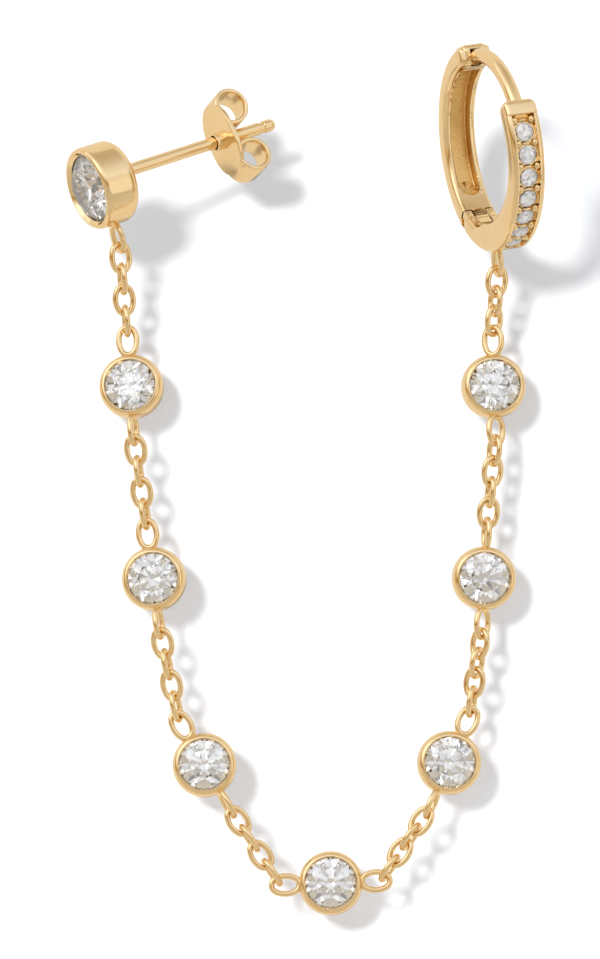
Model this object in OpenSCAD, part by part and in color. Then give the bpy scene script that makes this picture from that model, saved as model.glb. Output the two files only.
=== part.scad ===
// Ear chain earring: a stud with a post and a butterfly back, a cable chain with round stations,
// and a small hinged hoop with a row of stones. Held up by the stud's post.
// Frame: +X to the right, +Y away from the viewer, +Z up, millimetres.
// The origin is on the post's axis, at the back of the stud's cup.

/* [Chain] */
// Length of one link over its wire
link_l = 2.04; // [1.9:0.01:2.2]
// Width of one link over its wire
link_w = 1.45; // [1.38:0.01:1.6]
// Diameter of the link's wire
wire_d = 0.36; // [0.3:0.01:0.38]
// Slack between two links that hang in each other
link_gap = 0.04; // [0.03:0.01:0.08]
// Further slack between a link and a ring that is soldered to metal
ring_gap = 0.05; // [0.03:0.01:0.08]
// Depth to which a chain ring is soldered into the metal that carries it
solder_in = 0.2; // [0.12:0.01:0.26]

/* [Stones] */
// Diameter of the stud's stone
stud_stone_d = 4.2; // [3.8:0.05:4.8]
// Diameter of a station's stone
station_stone_d = 3.1; // [2.8:0.05:3.4]
// Diameter of a stone in the hoop's row
pave_stone_d = 1.12; // [1:0.01:1.18]
// Table of a stone, as a share of its diameter
table_share = 0.57; // [0.5:0.01:0.64]
// Height of the crown above the girdle, as a share of the diameter
crown_share = 0.15; // [0.12:0.01:0.17]
// Thickness of the girdle, as a share of the diameter
girdle_share = 0.03; // [0.02:0.01:0.04]
// Depth of the pavilion below the girdle, as a share of the diameter
pavilion_share = 0.43; // [0.38:0.01:0.45]
// Gap between a stone and the metal round it
seat_gap = 0.03; // [0.02:0.01:0.05]

/* [Stations] */
// Thickness of a station's wall beside the stone
station_wall = 0.345; // [0.3:0.005:0.5]
// Height of a station's rim above the middle of the girdle
station_rim = 0.36; // [0.3:0.01:0.5]
// Metal under the tip of a station's stone
station_floor = 0.16; // [0.12:0.01:0.3]
// Radius of the rounding round a station's back
station_foot = 0.85; // [0.6:0.05:1]

/* [Stud] */
// Thickness of the stud's wall beside the stone
stud_wall = 0.42; // [0.36:0.01:0.6]
// Height of the stud's rim above the middle of the girdle
stud_rim = 0.38; // [0.34:0.01:0.6]
// Metal under the tip of the stud's stone
stud_floor = 0.16; // [0.14:0.01:0.4]
// Radius of the rounding round the stud's back
stud_foot = 0.75; // [0.5:0.05:1.1]
// Height of the post above the middle of the cup
post_up = 0.35; // [0:0.05:0.6]
// Turn of the post away from the image plane, seen from above
stud_turn = -61.3; // [-75:0.1:-45]
// Rise of the post towards its tip
stud_rise = 16.8; // [5:0.1:25]

/* [Post and butterfly back] */
// Diameter of the post
post_d = 0.76; // [0.7:0.01:0.9]
// Length of the post behind the stud's cup
post_l = 11.15; // [10.5:0.05:12]
// Width of the groove near the tip
groove_w = 0.35; // [0.25:0.05:0.5]
// Depth of the groove
groove_depth = 0.06; // [0.04:0.01:0.1]
// Distance of the groove from the tip
groove_back = 1.15; // [0.9:0.05:1.3]
// Distance of the butterfly's plate from the cup
back_at = 7.3; // [6.9:0.05:7.5]
// Turn of the butterfly about the post
back_turn = 52; // [30:1:70]
// Thickness of the butterfly's strip
strip_t = 0.3; // [0.2:0.01:0.36]
// Width of the strip where it is rolled up
strip_w = 2.3; // [2:0.05:2.8]
// Radius of each half of the plate
plate_r = 1.85; // [1.6:0.05:2.1]
// Distance of each half's centre from the post
plate_out = 0.6; // [0.4:0.05:0.8]
// Outer radius of a scroll
scroll_r = 1.2; // [1.05:0.05:1.35]
// Length of the collar in front of the plate
collar_l = 1.1; // [0.8:0.05:1.4]
// Wall of the collar
collar_wall = 0.2; // [0.14:0.01:0.3]

/* [Hoop] */
// Outer diameter of the hoop
hoop_d = 12.5; // [12.2:0.1:13.5]
// Thickness of the band from inside to outside
hoop_t = 1.15; // [1.1:0.05:1.3]
// Width of the band
hoop_w = 2.05; // [2:0.05:2.3]
// Rounding of the band's edges
hoop_edge = 0.26; // [0.15:0.01:0.35]
// Turn of the hoop's plane away from the viewer
hoop_turn = -71; // [-80:1:-55]
// Lean of the hoop's top to the left
hoop_lean = 8.5; // [0:0.5:14]
// Angle of the chain ring round the hoop, from the front
hoop_ring_angle = 255; // [250:1:262]
// Angle at which the front half ends
front_end_angle = 23; // [18:0.5:26]
// Length of the raised block at the end of the front half
block_l = 0.9; // [0.7:0.05:1.2]
// Rise of that block over the band
block_rise = 0.1; // [0.05:0.01:0.2]

/* [Stone row] */
// Number of stones in the row
pave_count = 7; // [5:1:7]
// Angle of the uppermost stone
pave_first_angle = 4; // [2:0.5:5]
// Angle from stone to stone
pave_step_angle = 13.4; // [12.4:0.1:13.6]
// Depth of the channel that the row lies in
channel_depth = 0.28; // [0.2:0.01:0.34]
// Metal that stays beside the channel
channel_wall = 0.35; // [0.3:0.01:0.4]
// Radius of the beads that hold the stones
bead_r = 0.17; // [0.14:0.01:0.19]

/* [Hinge] */
// Angle of the hinge round the hoop
hinge_angle = 231; // [226:1:236]
// Diameter of the hinge's pin
pin_d = 0.56; // [0.4:0.01:0.6]
// Width of the middle knuckle
knuckle_w = 0.84; // [0.7:0.02:0.96]
// Radial clearance of the middle knuckle on the pin
hinge_fit = 0.03; // [0.02:0.01:0.05]
// Gap beside the middle knuckle
knuckle_gap = 0.04; // [0.03:0.01:0.06]
// Room round the knuckles, in which the halves turn
knuckle_relief = 0.17; // [0.16:0.01:0.22]

/* [Ear wire and catch] */
// Diameter of the ear wire
ear_wire_d = 0.9; // [0.8:0.02:0.96]
// Angle at which the round wire ends and its flat tip begins
wire_end_angle = 91; // [88:1:92]
// Angle that the flat tip spans
tip_span_angle = 8; // [6:1:9]
// Thickness of the flat tip
tip_t = 0.6; // [0.5:0.02:0.7]
// Thickness of the metal over the tip
catch_roof = 0.3; // [0.24:0.02:0.5]
// Length of the catch's block
catch_l = 1.45; // [1.3:0.05:1.9]
// Width of the catch's block
catch_w = 1.7; // [1.6:0.05:2]
// Gap round the flat tip
catch_gap = 0.05; // [0.04:0.01:0.08]
// Depth of the hollow inside the back half
hollow_depth = 0.5; // [0.3:0.05:0.6]
// Metal that stays beside the hollow
hollow_wall = 0.38; // [0.3:0.02:0.5]
// Angle at which the hollow's rounded end lies
hollow_end_angle = 203; // [190:1:206]

/* [Hidden] */
$fn = 48;
eps = 0.02;
gold = [0.86, 0.66, 0.36];
clear = [0.93, 0.95, 0.97];

// The route of the chain. Each stretch of links has its number of links, its heading from +X up,
// its lean away from the viewer, its extra slack, the roll of its first link and the further turn
// from link to link.
STRETCHES = [
    [4, -85, 2, 0.00, -18, 93],
    [4, -82, 4, -0.02, 10, 92],
    [4, -78, 3, -0.02, 14, 92],
    [4, -56.5, 2, 0.04, -12, 90],
    [4, 56, -2, 0.14, 73, 87],
    [4, 82, -3, 0.10, 73, 82],
    [4, 84.5, -3, 0.02, 8, 98],
    [3, 86, -2, 0.09, 225, 75]
];
// Each station has its heading along the chain, the turn of its face to the right, the tilt of its
// face upwards, and the rolls of its first and second ring.
STATIONS = [
    [-85, -8, 9, 0, 102],
    [-82, -8, 5, 0, 102],
    [-60, 0, 6, 0, 77],
    [2.5, 0, 5.5, 0, 0],
    [66, 5, 6, 70, 0],
    [87, 5, 2, 45, 100],
    [90.5, 8, 8, 32, 150]
];

// The chain
bend_r = (link_w - wire_d) / 2;
link_straight = link_l - link_w;
link_pitch = link_l - 2 * wire_d - link_gap;
ring_out = link_l / 2 - solder_in;
ring_step = link_pitch - link_straight / 2 - ring_gap;

// The settings
station_r = station_stone_d / 2 + seat_gap + station_wall;
stud_r = stud_stone_d / 2 + seat_gap + stud_wall;
stud_back = cup_back(stud_stone_d, stud_floor);
stud_depth = stud_rim - stud_back;
rim_edge = 0.6;
rim_top = 0.7;

// The butterfly
back_bore_r = post_d / 2 + seat_gap;
scroll_out = back_bore_r + scroll_r;

// The hoop
hoop_r = hoop_d / 2;
inner_r = hoop_r - hoop_t;
channel_r = hoop_r - channel_depth;
channel_w = hoop_w - 2 * channel_wall;
pave_r = channel_r + seat_gap;
pave_end_angle = pave_first_angle - (pave_count - 1) * pave_step_angle;
channel_side_angle = 6.5;
channel_top_angle = 10;
full_turn = 360;
channel_end_angle = full_turn + pave_end_angle - channel_side_angle;
block_angle = front_end_angle - block_l / hoop_r * 180 / PI;
bead_in = bead_r * 0.8;
bead_rise = bead_r * 1.2;
knuckle_r = hoop_t / 2 + 0.02;
pin_at = hoop_r - hoop_t / 2;
relief_r = knuckle_r + knuckle_relief;
wire_at = inner_r + ear_wire_d / 2 + eps;
tip_step = 0.04;
wire_sunk_angle = 4;
tip_sunk_angle = 2;
roof_at = wire_at + ear_wire_d / 2 + catch_gap;
catch_r = roof_at + catch_roof;
catch_angle = wire_end_angle + 1;
back_start_angle = catch_angle + catch_l / catch_r * 120 / PI;
hollow_start_angle = 108;
hollow_w = hoop_w - 2 * hollow_wall;

function rot_x(v, a) = [v.x, v.y * cos(a) - v.z * sin(a), v.y * sin(a) + v.z * cos(a)];
function rot_y(v, a) = [v.x * cos(a) + v.z * sin(a), v.y, v.z * cos(a) - v.x * sin(a)];
function rot_z(v, a) = [v.x * cos(a) - v.y * sin(a), v.x * sin(a) + v.y * cos(a), v.z];

// Directions of the stud's frame, a stretch, a station and the hoop's frame in the part's frame
function stud_way(v) = rot_z(rot_x(v, stud_rise), stud_turn);
function stretch_way(s) = rot_y(rot_z([1, 0, 0], STRETCHES[s][2]), -STRETCHES[s][1]);
function station_way(k) =
    rot_z(rot_x(rot_y([1, 0, 0], -STATIONS[k][0]), -STATIONS[k][2]), STATIONS[k][1]);
function hoop_way(v) = rot_y(rot_z(v, hoop_turn), -hoop_lean);

// Along the chain, the way that a soldered ring points: the stud's, the stations' and the hoop's
function ring_way(s) =
    s == 0 ? stud_way([0, 0, -1])
    : s == len(STRETCHES) ? -hoop_way([cos(hoop_ring_angle), 0, sin(hoop_ring_angle)])
    : station_way(s - 1);

// Places along the chain: the ring that a stretch starts at, its links and the ring that it ends at
function step_of(s) = link_pitch - STRETCHES[s][3];
function stretch_start(s) =
    s == 0
        ? stud_way([0, -stud_depth / 2, -(post_up + stud_r + ring_out)])
        : stretch_end(s - 1) + 2 * (station_r + ring_out) * station_way(s - 1);
function link_place(s, i) =
    stretch_start(s) + ring_way(s) * link_straight / 2 + (ring_step + step_of(s) * i) * stretch_way(s);
function stretch_end(s) =
    link_place(s, STRETCHES[s][0] - 1) + ring_step * stretch_way(s) + ring_way(s + 1) * link_straight / 2;
function station_place(k) = stretch_end(k) + (station_r + ring_out) * station_way(k);
hoop_place =
    stretch_end(len(STRETCHES) - 1)
    + (hoop_r + ring_out) * ring_way(len(STRETCHES));

// Heights in a setting, from the middle of the stone's girdle
function cup_back(d, floor_t) = -(girdle_share / 2 + pavilion_share) * d - 1.5 * seat_gap - floor_t;

function stone_name(k) = str("stone_", k + 1);
function station_name(k) = str("station_", k + 1);
function link_name(s, i) = str("link_", s, "_", i);

// A chain link, long along X and flat in the XZ plane
module link() {
    rotate([90, 0, 0])
        for (side = [0, 180]) rotate([0, 0, side]) {
            translate([link_straight / 2, 0, 0])
                rotate([0, 0, -90])
                    rotate_extrude(angle = 180)
                        translate([bend_r, 0]) circle(d = wire_d);
            translate([-link_straight / 2, bend_r, 0])
                rotate([0, 90, 0]) cylinder(d = wire_d, h = link_straight);
        }
}

// A brilliant of diameter d with its table up and the middle of its girdle at the origin
module brilliant(d) {
    r = d / 2;
    table_r = r * table_share;
    girdle_z = d * girdle_share / 2;
    table_z = girdle_z + d * crown_share;
    star_r = r * (1 + table_share) / 2;
    star_z = table_z - (star_r * cos(22.5) - table_r) * (table_z - girdle_z) / (r - table_r);
    culet_z = -girdle_z - d * pavilion_share;
    lower_r = r * 0.25;
    lower_z = culet_z + lower_r * cos(22.5) * (-girdle_z - culet_z) / r;
    ring = [for (k = [0 : 7]) k * 45];
    points = concat(
        [for (a = ring) [table_r * cos(a), table_r * sin(a), table_z]],
        [for (a = ring) [star_r * cos(a + 22.5), star_r * sin(a + 22.5), star_z]],
        [for (a = [0 : 22.5 : 337.5]) each [for (z = [girdle_z, -girdle_z]) [r * cos(a), r * sin(a), z]]],
        [for (a = ring) [lower_r * cos(a + 22.5), lower_r * sin(a + 22.5), lower_z]],
        [[0, 0, culet_z]]
    );
    hull() polyhedron(points = points, faces = [[for (i = [0 : len(points) - 1]) i]]);
}

// The room that a stone of diameter d needs below its girdle, as half a section
module seat_section(d, top) {
    r = d / 2 + seat_gap;
    drop = 1.5 * seat_gap + d * girdle_share / 2;
    polygon([
        [0, -drop - d * pavilion_share],
        [r, -drop + 2 * pavilion_share * seat_gap],
        [r, top],
        [0, top]
    ]);
}

// A closed round setting, face up, with the middle of its stone's girdle at the origin
module cup(d, wall, rim, floor_t, foot) {
    r = d / 2 + seat_gap + wall;
    back = cup_back(d, floor_t);
    edge = wall * rim_edge;
    lip_r = d / 2 - 0.05;
    lip_z = d * girdle_share / 2 + 1.5 * seat_gap;
    lip_rise = 2 * crown_share / (1 - table_share) * (d / 2 + seat_gap - lip_r);
    rotate_extrude()
        difference() {
            union() {
                translate([0, back]) square([r - foot, rim - back]);
                translate([0, back + foot]) square([r, rim - edge - back - foot]);
                translate([0, rim - edge - eps]) square([r - edge, edge + eps]);
                translate([r - edge, rim - edge]) circle(edge);
                translate([r - foot, back + foot]) intersection() {
                    circle(foot);
                    translate([0, -foot]) square(foot);
                }
            }
            seat_section(d, lip_z);
            polygon([
                [0, lip_z - eps],
                [d / 2 + seat_gap, lip_z - eps],
                [d / 2 + seat_gap, lip_z],
                [lip_r, lip_z + lip_rise],
                [r - wall * rim_top, rim],
                [r - wall * rim_top, rim + 1],
                [0, rim + 1]
            ]);
        }
}

// A ring of the chain soldered to a wall of radius r, along X
module chain_ring(r, roll) {
    translate([r + ring_out, 0, 0]) rotate([roll, 0, 0]) link();
}

module in_stud_frame() {
    rotate([stud_rise, 0, stud_turn]) children();
}

// Face towards the viewer, with the cup's back at the origin
module stud_face() {
    translate([0, stud_back, -post_up]) rotate([90, 0, 0]) children();
}

module post() {
    rotate([-90, 0, 0]) difference() {
        union() {
            translate([0, 0, -stud_floor / 2])
                cylinder(d = post_d, h = post_l - post_d / 2 + stud_floor / 2);
            translate([0, 0, post_l - post_d / 2]) sphere(d = post_d);
        }
        translate([0, 0, post_l - groove_back]) rotate_extrude()
            translate([post_d / 2 - groove_depth, 0]) square([post_d, groove_w]);
    }
}

module stud_setting() {
    color(gold) in_stud_frame() {
        stud_face() cup(stud_stone_d, stud_wall, stud_rim, stud_floor, stud_foot);
        post();
        translate([0, -stud_depth / 2, -post_up]) rotate([0, 90, 0]) chain_ring(stud_r, 0);
    }
}

module stud_stone() {
    color(clear) in_stud_frame() stud_face() brilliant(stud_stone_d);
}

// One scroll of the butterfly, rolled from the plate round to the post, as a section
module scroll_section() {
    translate([scroll_out, scroll_r]) difference() {
        circle(scroll_r);
        circle(scroll_r - strip_t);
        polygon([[0, 0], 2 * scroll_r * [-1, -0.62], 2 * scroll_r * [-0.2, -1]]);
    }
}

module butterfly_back() {
    color(gold) in_stud_frame()
        translate([0, back_at, 0]) rotate([0, back_turn, 0]) difference() {
            union() {
                for (side = [0, 180]) rotate([0, side, 0]) {
                    translate([plate_out, strip_t, 0]) rotate([90, 0, 0])
                        cylinder(r = plate_r, h = strip_t);
                    translate([0, 0, -strip_w / 2]) linear_extrude(strip_w) {
                        scroll_section();
                        square([scroll_out, strip_t]);
                    }
                }
                translate([0, strip_t, 0]) rotate([90, 0, 0])
                    cylinder(r = back_bore_r + collar_wall, h = strip_t + collar_l);
            }
            translate([0, 3 * scroll_r, 0]) rotate([90, 0, 0])
                cylinder(r = back_bore_r, h = 3 * scroll_r + collar_l + 1);
        }
}

module in_station(k) {
    turns = STATIONS[k];
    translate(station_place(k)) rotate([-turns[2], 0, turns[1]]) children();
}

module station(k) {
    turns = STATIONS[k];
    color(gold) in_station(k) {
        rotate([90, 0, 0]) cup(station_stone_d, station_wall, station_rim, station_floor, station_foot);
        rotate([0, -turns[0], 0]) {
            chain_ring(station_r, turns[4]);
            rotate([0, 180, 0]) chain_ring(station_r, -turns[3]);
        }
    }
}

module station_stone(k) {
    color(clear) in_station(k) rotate([90, 0, 0]) brilliant(station_stone_d);
}

module chain_link(s, i) {
    turns = STRETCHES[s];
    color(gold)
        translate(link_place(s, i))
            rotate([0, -turns[1], 0]) rotate([0, 0, turns[2]]) rotate([turns[4] + i * turns[5], 0, 0])
                link();
}

// A flat rectangle with round corners, its lower left corner at the origin
module round_rect(size, r) {
    translate([r, 0]) square([size.x - 2 * r, size.y]);
    translate([0, r]) square([size.x, size.y - 2 * r]);
    for (x = [r, size.x - r], y = [r, size.y - r]) translate([x, y]) circle(r);
}

// A stretch of a ring about the hoop's axis, from one angle to another, of the section that follows
module swept(from, to) {
    rotate([90, 0, 0]) rotate([0, 0, from]) rotate_extrude(angle = to - from, $fn = 96) children();
}

// The band between two angles
module band(from, to) {
    swept(from, to) translate([inner_r, -hoop_w / 2]) round_rect([hoop_t, hoop_w], hoop_edge);
}

// What follows is turned to an angle round the hoop, with X outwards
module at_angle(a) {
    rotate([0, -a, 0]) children();
}

// A block on the band, of length l after the angle a, up to the radius r
module end_block(a, l, r, width) {
    depth = r - inner_r;
    at_angle(a) translate([inner_r, 0, 0]) rotate([0, 0, 90])
        translate([-width / 2, -depth, 0]) linear_extrude(l) round_rect([width, depth], hoop_edge);
}

// A disc about the hinge's axis between two places along it
module hinge_disc(r, from, to) {
    at_angle(hinge_angle) translate([pin_at, to, 0]) rotate([90, 0, 0]) cylinder(r = r, h = to - from);
}

module in_hoop_frame() {
    translate(hoop_place) rotate([0, -hoop_lean, 0]) rotate([0, 0, hoop_turn]) children();
}

// What is repeated at each stone of the row, face up at the origin
module each_pave_stone() {
    for (i = [0 : pave_count - 1])
        at_angle(pave_first_angle - i * pave_step_angle)
            translate([pave_r, 0, 0]) rotate([0, 90, 0]) children();
}

module channel_beads() {
    for (i = [-1 : pave_count - 1], side = [-1, 1])
        at_angle(pave_first_angle - (i + 0.5) * pave_step_angle)
            translate([channel_r, side * (channel_w / 2 - bead_in), 0]) rotate([0, 90, 0])
                cylinder(r = bead_r, h = 2 * bead_rise, center = true);
}

module ear_wire() {
    swept(front_end_angle - wire_sunk_angle, wire_end_angle)
        translate([wire_at, 0]) circle(d = ear_wire_d);
    swept(wire_end_angle - tip_sunk_angle, wire_end_angle + tip_span_angle)
        translate([wire_at, 0]) intersection() {
            circle(d = ear_wire_d - tip_step);
            square([ear_wire_d, tip_t], center = true);
        }
}

module hoop_front() {
    side_from = knuckle_w / 2 + knuckle_gap;
    color(gold) in_hoop_frame() difference() {
        union() {
            difference() {
                union() {
                    band(hinge_angle, full_turn + front_end_angle);
                    end_block(block_angle, block_l, hoop_r + block_rise, hoop_w + block_rise);
                }
                hinge_disc(relief_r, -side_from, side_from);
                swept(channel_end_angle, full_turn + pave_first_angle + channel_top_angle)
                    translate([channel_r, -channel_w / 2]) square([2 * channel_depth, channel_w]);
                each_pave_stone() rotate_extrude() seat_section(pave_stone_d, 2 * channel_depth);
            }
            hinge_disc(knuckle_r, side_from, hoop_w / 2);
            hinge_disc(knuckle_r, -hoop_w / 2, -side_from);
            channel_beads();
            ear_wire();
            at_angle(hoop_ring_angle) chain_ring(hoop_r, 0);
        }
        hinge_disc(pin_d / 2 + seat_gap / 2, -hoop_w, hoop_w);
    }
}

module pave_stones() {
    color(clear) in_hoop_frame() each_pave_stone() brilliant(pave_stone_d);
}

// The hollow on the inside of the back half, with a rounded end
module hollow() {
    floor_r = inner_r + hollow_depth;
    swept(hollow_start_angle, hollow_end_angle)
        translate([inner_r - 1, -hollow_w / 2]) square([1 + hollow_depth, hollow_w]);
    at_angle(hollow_end_angle) translate([inner_r - 1, 0, 0]) rotate([0, 90, 0])
        cylinder(d = hollow_w, h = 1 + hollow_depth);
}

module hoop_back() {
    tip_end = wire_end_angle + tip_span_angle;
    color(gold) in_hoop_frame() difference() {
        union() {
            difference() {
                union() {
                    band(back_start_angle, hinge_angle);
                    end_block(catch_angle, catch_l, catch_r, catch_w);
                }
                hinge_disc(relief_r, knuckle_w / 2, hoop_w);
                hinge_disc(relief_r, -hoop_w, -knuckle_w / 2);
            }
            hinge_disc(knuckle_r, -knuckle_w / 2, knuckle_w / 2);
        }
        hinge_disc(pin_d / 2 + hinge_fit, -hoop_w, hoop_w);
        hollow();
        swept(catch_angle - 10, tip_end + 1)
            translate([inner_r - 1, -tip_t / 2 - catch_gap])
                square([roof_at - inner_r + 1, tip_t + 2 * catch_gap]);
    }
}

module hinge_pin() {
    color(gold) in_hoop_frame() hinge_disc(pin_d / 2, -hoop_w / 2 + eps, hoop_w / 2 - eps);
}

stud_setting();
stud_stone();
butterfly_back();
for (k = [0 : len(STATIONS) - 1]) {
    station(k);
    station_stone(k);
}
for (s = [0 : len(STRETCHES) - 1], i = [0 : STRETCHES[s][0] - 1])
    chain_link(s, i);
hoop_front();
pave_stones();
hoop_back();
hinge_pin();
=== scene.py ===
"""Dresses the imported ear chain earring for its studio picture.

Sizes are in millimetres and angles in degrees. A piece is modelled in its own frame and then put
in its place in the row frame, in metres, with its place in its mesh.
"""

import logging
import math
from collections.abc import Callable, Iterable, Iterator
from contextlib import contextmanager
from dataclasses import dataclass, field
from enum import Enum

import bpy
from mathutils import Matrix, Vector


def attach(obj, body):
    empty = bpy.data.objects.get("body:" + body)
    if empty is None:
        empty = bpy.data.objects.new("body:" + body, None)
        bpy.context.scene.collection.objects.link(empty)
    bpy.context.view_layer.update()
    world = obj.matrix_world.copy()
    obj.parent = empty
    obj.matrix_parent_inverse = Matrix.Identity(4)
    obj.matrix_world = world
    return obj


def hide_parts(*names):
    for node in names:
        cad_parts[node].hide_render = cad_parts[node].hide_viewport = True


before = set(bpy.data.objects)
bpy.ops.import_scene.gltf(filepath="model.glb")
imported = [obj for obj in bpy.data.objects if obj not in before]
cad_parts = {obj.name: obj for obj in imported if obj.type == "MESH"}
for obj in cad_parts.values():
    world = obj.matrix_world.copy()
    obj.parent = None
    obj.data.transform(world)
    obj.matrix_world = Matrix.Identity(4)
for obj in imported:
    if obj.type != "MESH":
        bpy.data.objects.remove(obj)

Piece = bpy.types.Object
Pair = tuple[float, float]

LOG = logging.getLogger("ear_chain")
MM = 0.001
MERGE_WITHIN = 0.0005


class Body(Enum):
    """The bodies that the pieces ride on."""

    ROOT = "root"
    BUTTERFLY = "butterfly"
    GATE = "hoop_gate"


# Turns and places


def turned(x: float = 0, y: float = 0, z: float = 0) -> Matrix:
    """Turns about X, then Y, then Z.

    Args:
        x: Degrees about X.
        y: Degrees about Y.
        z: Degrees about Z.

    Returns:
        The 4x4 turn.
    """
    about_x = Matrix.Rotation(math.radians(x), 4, "X")
    about_y = Matrix.Rotation(math.radians(y), 4, "Y")
    about_z = Matrix.Rotation(math.radians(z), 4, "Z")
    return about_z @ about_y @ about_x


def moved(x: float | Vector = 0, y: float = 0, z: float = 0) -> Matrix:
    """Moves by a vector or by its three parts."""
    return Matrix.Translation(x if isinstance(x, Vector) else Vector((x, y, z)))


def sized(x: float, y: float, z: float) -> Matrix:
    """Sizes along the three axes."""
    return Matrix.Diagonal((x, y, z, 1.0))


# The workbench: the steps that every piece is made with


def take(*pieces: Piece) -> None:
    """Selects these objects alone, the first one active.

    Args:
        pieces: The objects.
    """
    bpy.ops.object.select_all(action="DESELECT")
    for piece in pieces:
        piece.select_set(True)
    bpy.context.view_layer.objects.active = pieces[0]


@contextmanager
def editing(piece: Piece, parts: str = "VERT") -> Iterator[None]:
    """Holds an object in edit mode.

    Args:
        piece: The object.
        parts: What is selected, VERT, EDGE or FACE.

    Yields:
        Nothing.
    """
    take(piece)
    bpy.ops.object.mode_set(mode="EDIT")
    bpy.ops.mesh.select_mode(type=parts)
    try:
        yield
    finally:
        bpy.ops.object.mode_set(mode="OBJECT")


def pick(piece: Piece, test: Callable[[Vector], bool], parts: str = "VERT") -> None:
    """In edit mode, selects the vertices, edges or faces that a test names by their middle.

    Args:
        piece: The object that is being edited.
        test: Takes a middle and says whether it is selected.
        parts: What is selected, VERT, EDGE or FACE.
    """
    bpy.ops.mesh.select_mode(type=parts)
    bpy.ops.mesh.select_all(action="DESELECT")
    bpy.ops.object.mode_set(mode="OBJECT")
    mesh = piece.data
    if parts == "VERT":
        chosen = [v for v in mesh.vertices if test(v.co)]
    elif parts == "EDGE":
        at = [v.co for v in mesh.vertices]
        chosen = [e for e in mesh.edges if test((at[e.vertices[0]] + at[e.vertices[1]]) / 2)]
    else:
        chosen = [f for f in mesh.polygons if test(f.center)]
    for part in chosen:
        part.select = True
    bpy.ops.object.mode_set(mode="EDIT")


def new_piece(name: str) -> Piece:
    """Names the object that was just added and puts its place into its mesh.

    Args:
        name: The name.

    Returns:
        The object.
    """
    piece = bpy.context.view_layer.objects.active
    piece.name = piece.data.name = name
    take(piece)
    bpy.ops.object.transform_apply(location=True, rotation=True, scale=True)
    return piece


def put(piece: Piece, place: Matrix) -> Piece:
    """Moves an object and puts the move into its mesh.

    Args:
        piece: The object.
        place: The move.

    Returns:
        The object.
    """
    take(piece)
    piece.matrix_world = place
    bpy.ops.object.transform_apply(location=True, rotation=True, scale=True)
    return piece


def copied(piece: Piece, name: str, place: Matrix) -> Piece:
    """Copies an object with its own mesh and puts the copy in a place.

    Args:
        piece: The object.
        name: The copy's name.
        place: The copy's move.

    Returns:
        The copy.
    """
    twin = piece.copy()
    twin.data = piece.data.copy()
    twin.name = twin.data.name = name
    bpy.context.scene.collection.objects.link(twin)
    return put(twin, place)


def drop(*pieces: Piece) -> None:
    """Deletes objects that have done their work."""
    take(*pieces)
    bpy.ops.object.delete()


def joined(first: Piece, *others: Piece) -> Piece:
    """Joins objects into the first one.

    Args:
        first: The object that stays.
        others: The objects that go into it.

    Returns:
        The first object.
    """
    take(first, *others)
    bpy.ops.object.join()
    return first


def outward(piece: Piece) -> Piece:
    """Merges doubles and turns all the faces outwards.

    Args:
        piece: The object.

    Returns:
        The object.
    """
    with editing(piece):
        bpy.ops.mesh.select_all(action="SELECT")
        bpy.ops.mesh.remove_doubles(threshold=MERGE_WITHIN)
        bpy.ops.mesh.normals_make_consistent(inside=False)
    return piece


def smoothed(piece: Piece, angle: float = 32) -> Piece:
    """Shades a piece smooth where its faces meet at less than an angle.

    Args:
        piece: The object.
        angle: The angle in degrees.

    Returns:
        The object.
    """
    take(piece)
    bpy.ops.object.shade_smooth_by_angle(angle=math.radians(angle))
    return piece


def applied(piece: Piece, kind: str, **settings: object) -> Piece:
    """Gives a piece a modifier and applies it.

    Args:
        piece: The object.
        kind: The modifier's type.
        settings: Its settings by name.

    Returns:
        The object.
    """
    modifier = piece.modifiers.new(kind.lower(), kind)
    for name, value in settings.items():
        setattr(modifier, name, value)
    take(piece)
    bpy.ops.object.modifier_apply(modifier=modifier.name)
    return piece


def softened(piece: Piece, width: float, steps: int = 3, angle: float = 40) -> Piece:
    """Rounds the edges of a piece that are sharper than an angle.

    Args:
        piece: The object.
        width: The width of the rounding.
        steps: Its steps.
        angle: The angle in degrees.

    Returns:
        The object.
    """
    return applied(
        piece,
        "BEVEL",
        width=width,
        segments=steps,
        limit_method="ANGLE",
        angle_limit=math.radians(angle),
        use_clamp_overlap=True,
    )


def cut(piece: Piece, *tools: Piece, **settings: object) -> Piece:
    """Cuts tools out of a piece, and the tools are gone.

    Args:
        piece: The piece.
        tools: The tools.
        settings: More settings of the cut.

    Returns:
        The piece.
    """
    for tool in tools:
        applied(piece, "BOOLEAN", operation="DIFFERENCE", solver="EXACT", object=tool, **settings)
        drop(tool)
    return piece


def lathe(name: str, profile: list[Pair], segments: int = 96) -> Piece:
    """Turns a profile about Z: a circle is extruded from ring to ring and sized.

    Args:
        name: The piece's name.
        profile: Radius and height of each ring. A radius of 0 at an end closes it.
        segments: The steps round the axis.

    Returns:
        The turned piece.
    """
    rings = profile[1:] if profile[0][0] == 0 else profile
    radius, height = rings[0]
    bpy.ops.mesh.primitive_circle_add(
        vertices=segments,
        radius=radius,
        fill_type="TRIFAN" if profile[0][0] == 0 else "NOTHING",
        location=(0, 0, height),
    )
    piece = new_piece(name)
    with editing(piece):
        bpy.ops.mesh.select_all(action="DESELECT")
        bpy.ops.mesh.select_non_manifold()
        for next_radius, next_height in rings[1:]:
            bpy.ops.mesh.extrude_edges_move(
                TRANSFORM_OT_translate={"value": (0, 0, next_height - height)}
            )
            if next_radius == 0:
                bpy.ops.mesh.merge(type="CENTER")
                break
            factor = next_radius / radius
            bpy.ops.transform.resize(value=(factor, factor, 1), center_override=(0, 0, next_height))
            radius, height = next_radius, next_height
    return outward(piece)


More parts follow.
